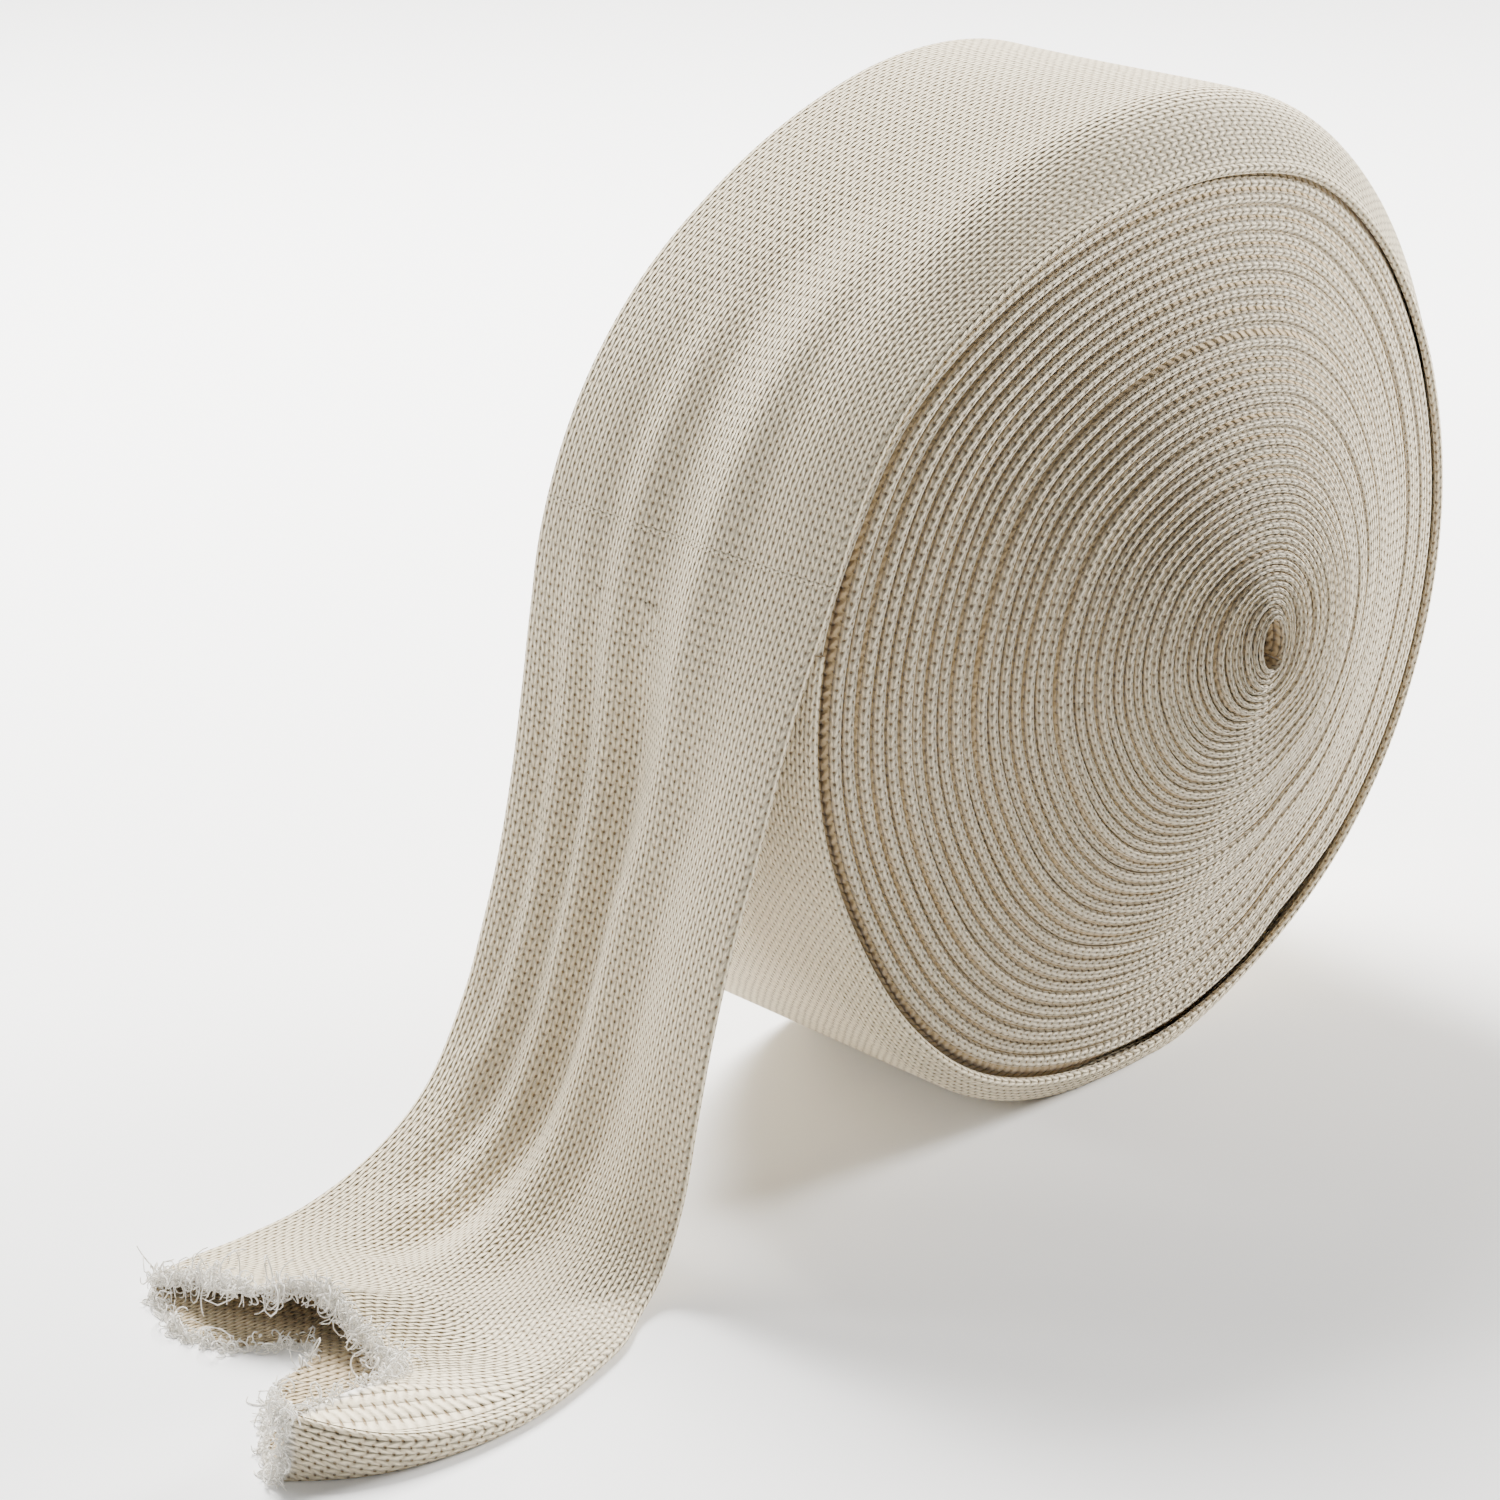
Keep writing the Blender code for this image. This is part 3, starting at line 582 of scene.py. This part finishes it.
def tube_rings(pick, skin):
    """Rings round the tube at the picked places: upper layer, far fold, lower layer back, near fold. With a
    skin the ring is the tube's lining, moved inwards by that much."""
    n, f, a, r = near[pick], far[pick], away[pick], row[pick]
    inset = 2.0 * skin / TUBE_WIDTH
    on_roll = np.arange(len(row))[pick] < leaves
    angle = np.where(on_roll, LEAVE_ANGLE + (r + 1.0) * LEAD_STEP, LEAVE_ANGLE)
    layers, reaches = [], []
    for shares, upper in ((UPPER_AT, True), (LOWER_AT, False)):
        across = inset + shares * (1 - 2 * inset)
        ends = rim_radius(angle, [0.0, 1.0])
        bulge = rim_radius(angle, across) - ends[:, :1] - (ends[:, 1:] - ends[:, :1]) * across
        fade = np.where(on_roll, 1.0, 1 - ease((r + 1.0) / 3.0))[:, None]
        lift = bulge * fade - crease(r, across)
        off = TURN + opening(r, across) - skin if upper else np.full_like(lift, skin)
        base = n[:, None, :] + (f - n)[:, None, :] * across[None, :, None]
        points = base + a[:, None, :] * (lift + off)[:, :, None]
        reaches.append(np.interp(across, MOUTH[:, 0], MOUTH[:, 1 if upper else 2]) * TUBE_WIDTH)
        limit = np.where(on_roll, 0.0 if upper else TURN, skin if not upper else 1.6 * LAYER)
        points[..., 2] = np.maximum(points[..., 2], limit[:, None])
        layers.append(points)
    upper, lower = layers[0], layers[1][:, ::-1]
    folds = []
    for first, last, outwards in ((upper[:, -1], lower[:, 0], 1.0), (lower[:, -1], upper[:, 0], -1.0)):
        way = (f - n) / np.linalg.norm(f - n, axis=1, keepdims=True) * outwards
        half = 0.5 * np.linalg.norm(first - last, axis=1)
        bulge = np.minimum(half, FOLD_BULGE + 0.10 * half)[:, None, None]
        turn = FOLD_AT[None, :, None]
        swing = 0.5 + 0.5 * np.cos(np.pi * turn)
        chord = first[:, None] * swing + last[:, None] * (1 - swing)
        folds.append(chord + way[:, None, :] * bulge * np.sin(np.pi * turn))
    ring = np.concatenate([upper, folds[0], lower, folds[1]], 1)
    girth = np.linalg.norm(np.diff(np.concatenate([ring, ring[:, :1]], 1), axis=1), axis=2).cumsum(1)
    girth = np.concatenate([0 * girth[:, :1], girth], 1) / girth[:, -1:]
    wales = girth * 2 * WALES_FLAT + FOLD_WALES
    out, back = reaches[0], reaches[1][::-1]
    reach = np.concatenate([out, out[-1] + (back[0] - out[-1]) * FOLD_AT, back,
                            back[-1] + (out[0] - back[-1]) * FOLD_AT])
    ring[..., 0] -= reach[None, :] * ease((r - MOUTH_FROM) / (LAST_ROW - MOUTH_FROM))[:, None]
    return ring, wales


def smooth_leave(points, reach):
    """Blend each point with its neighbours along the tube, strongest where the tube leaves the roll."""
    offsets = np.arange(-reach, reach + 1)
    weights = np.exp(-(offsets / (reach / 2.2)) ** 2)
    weights /= weights.sum()
    padded = np.concatenate([points[:1].repeat(reach, 0), points, points[-1:].repeat(reach, 0)])
    soft = sum(weight * padded[reach + offset:reach + offset + len(points)]
               for weight, offset in zip(weights, offsets))
    amount = np.exp(-((np.arange(len(points)) - leaves) / 26.0) ** 2)[:, None, None]
    return points + (soft - points) * amount


# %% [markdown]
# ## One surface with a lining
# A single sheet would look paper-thin at the mouth. The last stretch therefore has a second surface one
# layer further in, joined to the first along the cut. Near the mouth the lines along the tube differ in
# length, so there the stitches are counted along each line, which keeps them from being stretched.

# %% The outer cloth
rings, wales = tube_rings(slice(None), 0.0)
rings = smooth_leave(rings, 14)
LINING_ROW, DRAPE_ROW, FRAY = 5.0, 7.5, 0.0032
lining_from = leaves + int(np.searchsorted(rows, LINING_ROW))
lining, lining_wales = tube_rings(slice(lining_from, None), LAYER)
count, around = rings.shape[:2]
quads, corners = grid_quads(count, around)
drape_from = leaves + int(np.searchsorted(rows, DRAPE_ROW))


def stitch_rows(surface, first):
    """Courses along each line of the tube: the tube's own length up to the drape, the line's own beyond."""
    courses = np.repeat(along[first:, None], surface.shape[1], 1)
    local = np.linalg.norm(np.diff(surface[drape_from - first:], axis=0), axis=2)
    courses[drape_from - first + 1:] = courses[drape_from - first] + np.cumsum(local, axis=0)
    return np.concatenate([courses, courses[:, :1]], 1) / COURSE


uv = np.stack([wales, stitch_rows(rings, 0)], -1).reshape(-1, 2)[corners]
in_quads, in_corners = grid_quads(len(lining), around)
in_uv = np.stack([lining_wales, stitch_rows(lining, lining_from)], -1)
in_uv = in_uv.reshape(-1, 2)[in_corners[:, ::-1]]
start = count * around
last_ring = (count - 1) * around + np.arange(around)
last_lining = start + (len(lining) - 1) * around + np.arange(around)
rim_quads = np.stack([last_ring, np.roll(last_ring, -1), np.roll(last_lining, -1), last_lining], -1)
rim_uv = np.zeros((around, 4, 2))
rim_uv[..., 0] = np.stack([wales[-1, :-1], wales[-1, 1:], wales[-1, 1:], wales[-1, :-1]], -1)
rim_uv[..., 1] = along[-1] / COURSE
cap = np.arange(around)[::-1].tolist()
inner_cap = (start + np.arange(around)).tolist()
faces = quads.tolist() + (in_quads[:, ::-1] + start).tolist() + rim_quads.tolist() + [cap, inner_cap]
all_uv = np.concatenate([uv.reshape(-1, 2), in_uv.reshape(-1, 2), rim_uv.reshape(-1, 2),
                         np.zeros((2 * around, 2))])
points = np.concatenate([rings.reshape(-1, 3), lining.reshape(-1, 3)])
courses = stitch_rows(rings, 0)[:, :-1]
fray = -ease(1 - (courses[-1:] - courses) * COURSE / FRAY)
# The lining takes 0.6 all over: painted shade inside the tube. The outer cloth's values below zero whiten
# the cut edge.
shade_and_fray = np.concatenate([fray.ravel(), np.full(len(lining) * around, 0.6)])
outer_cloth = cloth_object("outer_cloth", points, faces, all_uv, shade_and_fray, outer_jersey)

# %% [markdown]
# ## Frayed loops at the cut
# Cut jersey lets go of its last rows: short ends and loops of yarn curl out of the edge. Each is a thin
# tube of a few sides whose path bends in a random helix. All of them are worked out at once, as one array
# of paths, because a hair system would be lost in an exported mesh. Fibres let light through, and a weak
# glow of their own stands in for it.

# %% Yarn ends
def yarn_tubes(starts, heads, lengths, curls, radius, seed):
    """Tubes along bending helices: each path goes along its heading and circles about it, wider with
    the distance; a ring of five points is carried along each path."""
    local = np.random.default_rng(seed)
    count, steps, sides = len(starts), 11, 5
    t = np.linspace(0, 1, steps)[None, :, None]
    heads = heads / np.linalg.norm(heads, axis=1, keepdims=True)
    helper = np.where(np.abs(heads[:, 2:3]) > 0.8, [[1.0, 0, 0]], [[0, 0, 1.0]])
    left = np.cross(heads, helper)
    left /= np.linalg.norm(left, axis=1, keepdims=True)
    up = np.cross(left, heads)
    phase = local.uniform(0, 2 * np.pi, (count, 1, 1))
    winds = local.uniform(0.5, 1.6, (count, 1, 1)) * 2 * np.pi
    size = curls[:, None, None] * t ** 0.7
    paths = (starts[:, None] + heads[:, None] * lengths[:, None, None] * t
             + left[:, None] * size * (np.cos(phase + winds * t) - np.cos(phase))
             + up[:, None] * size * (np.sin(phase + winds * t) - np.sin(phase)))
    paths[..., 2] = np.maximum(paths[..., 2], radius * 1.2)
    way = np.gradient(paths, axis=1)
    way /= np.linalg.norm(way, axis=2, keepdims=True) + 1e-12
    first = np.cross(way, left[:, None] + 0.31 * up[:, None])
    first /= np.linalg.norm(first, axis=2, keepdims=True) + 1e-12
    second = np.cross(way, first)
    turn = np.linspace(0, 2 * np.pi, sides, endpoint=False)
    thick = radius * (1 - 0.5 * t[..., None] ** 3)
    rings = (paths[:, :, None] + thick * (first[:, :, None] * np.cos(turn)[None, None, :, None]
                                          + second[:, :, None] * np.sin(turn)[None, None, :, None]))
    quads, corners = grid_quads(steps, sides)
    base = (np.arange(count) * steps * sides)[:, None, None]
    body = (base + quads[None]).reshape(-1, 4).tolist()
    caps = [(base[:, 0] + np.arange(sides)[::-1]).tolist(),
            (base[:, 0] + (steps - 1) * sides + np.arange(sides)).tolist()]
    faces = body + caps[0] + caps[1]
    uv = np.zeros((len(body) * 4 + 2 * count * sides, 2))
    return rings.reshape(-1, 3), faces, uv


fringe_rng = np.random.default_rng(5)
edge_upper = rings[-1, :len(UPPER_AT)]
edge_lower = rings[-1, len(UPPER_AT) + len(FOLD_AT):len(UPPER_AT) + len(FOLD_AT) + len(LOWER_AT)]
edge_near = rings[-1, -len(FOLD_AT):]
seeds, heads, lengths, curls = [], [], [], []
for line, amount, level in ((edge_upper, 960, 0.8), (edge_lower, 560, 0.75), (edge_near, 160, 0.55)):
    where = fringe_rng.uniform(0, len(line) - 1.001, amount)
    left = where.astype(int)
    part = (where - left)[:, None]
    on_edge = line[left] * (1 - part) + line[left + 1] * part
    seeds.append(on_edge + fringe_rng.normal(0, 0.0007, (amount, 3)))
    heads.append(np.array([-1.0, 0.0, 0.0]) + fringe_rng.normal(0, 0.75, (amount, 3)) * [0.5, 1.0, 0.8])
    lengths.append(fringe_rng.gamma(2.0, 0.0006, amount) * level + 0.0003)
    curls.append(fringe_rng.gamma(2.5, 0.0007, amount) * level)

# A clump of longer yarn hangs where the cut turns towards the near fold.
CLUMP = 70
clump_rng = np.random.default_rng(7)
seeds.append(edge_upper[clump_rng.integers(8, 20, CLUMP)] + clump_rng.normal(0, 0.0016, (CLUMP, 3)))
heads.append(np.array([-0.6, -0.7, 0.1]) + clump_rng.normal(0, 0.7, (CLUMP, 3)))
lengths.append(clump_rng.uniform(0.001, 0.0045, CLUMP))
curls.append(clump_rng.uniform(0.0008, 0.0022, CLUMP))
parts = [np.concatenate(item) for item in (seeds, heads, lengths, curls)]
yarn = jersey("loose_yarn", (1.0, 0.965, 0.87), (0.85, 0.8, 0.7), 0.0001, 0.0)
yarn_shader = yarn.node_tree.nodes["Principled BSDF"]
yarn_shader.inputs["Emission Color"].default_value = (1.0, 0.96, 0.88, 1)
yarn_shader.inputs["Emission Strength"].default_value = 0.14
fringe_points, fringe_faces, fringe_uv = yarn_tubes(*parts, 0.00020, 3)
fringe = cloth_object("cut_fringe", fringe_points, fringe_faces, fringe_uv,
                      np.zeros(len(fringe_points)), yarn)

# %% [markdown]
# ## Riding the body and replacing the solids
# Every piece rides on the one body and stands for the plain solids in its place. The wound tube's length in
# the turns is worked out, but it is not kept.

# %% Ride and replace
for piece, first, last in ((inner_turns, FIRST_TURN, MIDDLE_TURN),
                           (outer_turns, MIDDLE_TURN, WINDINGS_END)):
    turn = np.linspace(first, last, 4000)
    rim = rim_radius(START_ANGLE + 360 * turn, [0.5])[:, 0] - TURN
    mean = CORE_RADIUS + turn_share(turn / TURNS) * (rim - CORE_RADIUS)
    float(2 * np.pi * mean.mean() * (last - first))
for piece in (inner_turns, outer_turns, outer_cloth, fringe):
    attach(piece, "root")
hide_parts("windings")
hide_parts("windings")
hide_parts("outer_turn", "free_end")

# %% [markdown]
# ## Floor, light and camera
# A product photo of pale cloth wants a pale room: a floor that is almost white and a weak even world. The
# main light stands high behind the roll, so that the face is darker than the top; one from the right draws
# the ridges of the face, and a weak one from behind on the left draws the creases of the free end.

# %% Floor and lights
floor_mesh = bpy.data.meshes.new("floor")
floor_mesh.from_pydata([(-6, -6, 0), (6, -6, 0), (6, 6, 0), (-6, 6, 0)], [], [(0, 1, 2, 3)])
floor = bpy.data.objects.new("floor", floor_mesh)
bpy.context.scene.collection.objects.link(floor)
floor_paint = bpy.data.materials.new("floor_paint")
floor_paint.use_nodes = True
floor_shader = floor_paint.node_tree.nodes["Principled BSDF"]
floor_shader.inputs["Base Color"].default_value = (0.97, 0.97, 0.97, 1)
floor_shader.inputs["Roughness"].default_value = 0.9
floor_mesh.materials.append(floor_paint)

world = bpy.data.worlds.new("pale_room")
bpy.context.scene.world = world
world.use_nodes = True
backdrop = world.node_tree.nodes["Background"]
backdrop.inputs["Color"].default_value = (1.0, 1.0, 1.0, 1)
backdrop.inputs["Strength"].default_value = 0.27


def soft_light(name, place, aim, size, power):
    """A square area light at a place, turned towards a point."""
    lamp = bpy.data.lights.new(name, "AREA")
    lamp.size = size
    lamp.energy = power
    lamp.color = (1.0, 0.985, 0.96)
    item = bpy.data.objects.new(name, lamp)
    item.location = place
    item.rotation_euler = (Vector(aim) - Vector(place)).to_track_quat("-Z", "Y").to_euler()
    bpy.context.scene.collection.objects.link(item)
    print(name, "at", place)


soft_light("overhead", (0.25, 0.75, 1.05), (-0.04, 0.0, 0.08), 0.6, 84.0)
soft_light("right_side", (1.35, -0.38, 0.45), (0.0, 0.0, 0.10), 0.4, 66.0)
soft_light("left_side", (-0.75, 0.9, 0.40), (-0.13, 0.0, 0.08), 0.25, 7.0)

# %% [markdown]
# ## Camera
# The camera's angle, distance and lens were fitted to the edges seen in the picture, so that the roll has
# the same outline. The frame is square; the sensor's width is what the lens is reckoned on.

# %% Camera
AZIMUTH, ELEVATION, DISTANCE = math.radians(-44.5), math.radians(22.5), 1.0
TARGET = Vector((-0.0852, 0.0, 0.0938))
towards = Vector((math.sin(AZIMUTH) * math.cos(ELEVATION), -math.cos(AZIMUTH) * math.cos(ELEVATION),
                  math.sin(ELEVATION)))
lens = bpy.data.cameras.new("camera")
lens.sensor_fit = "HORIZONTAL"
lens.sensor_width = 36.0
lens.lens = 110.7
lens.clip_start = 0.01
camera = bpy.data.objects.new("camera", lens)
camera.location = TARGET + towards * DISTANCE
camera.rotation_euler = (-towards).to_track_quat("-Z", "Y").to_euler()
bpy.context.scene.collection.objects.link(camera)
bpy.context.scene.camera = camera
print("camera at", camera.location)

# %% [markdown]
# ## The end
# The dressed roll must be as large as the solids. The last cell only brings the scene up to date.

# %% The end
bpy.context.view_layer.update()
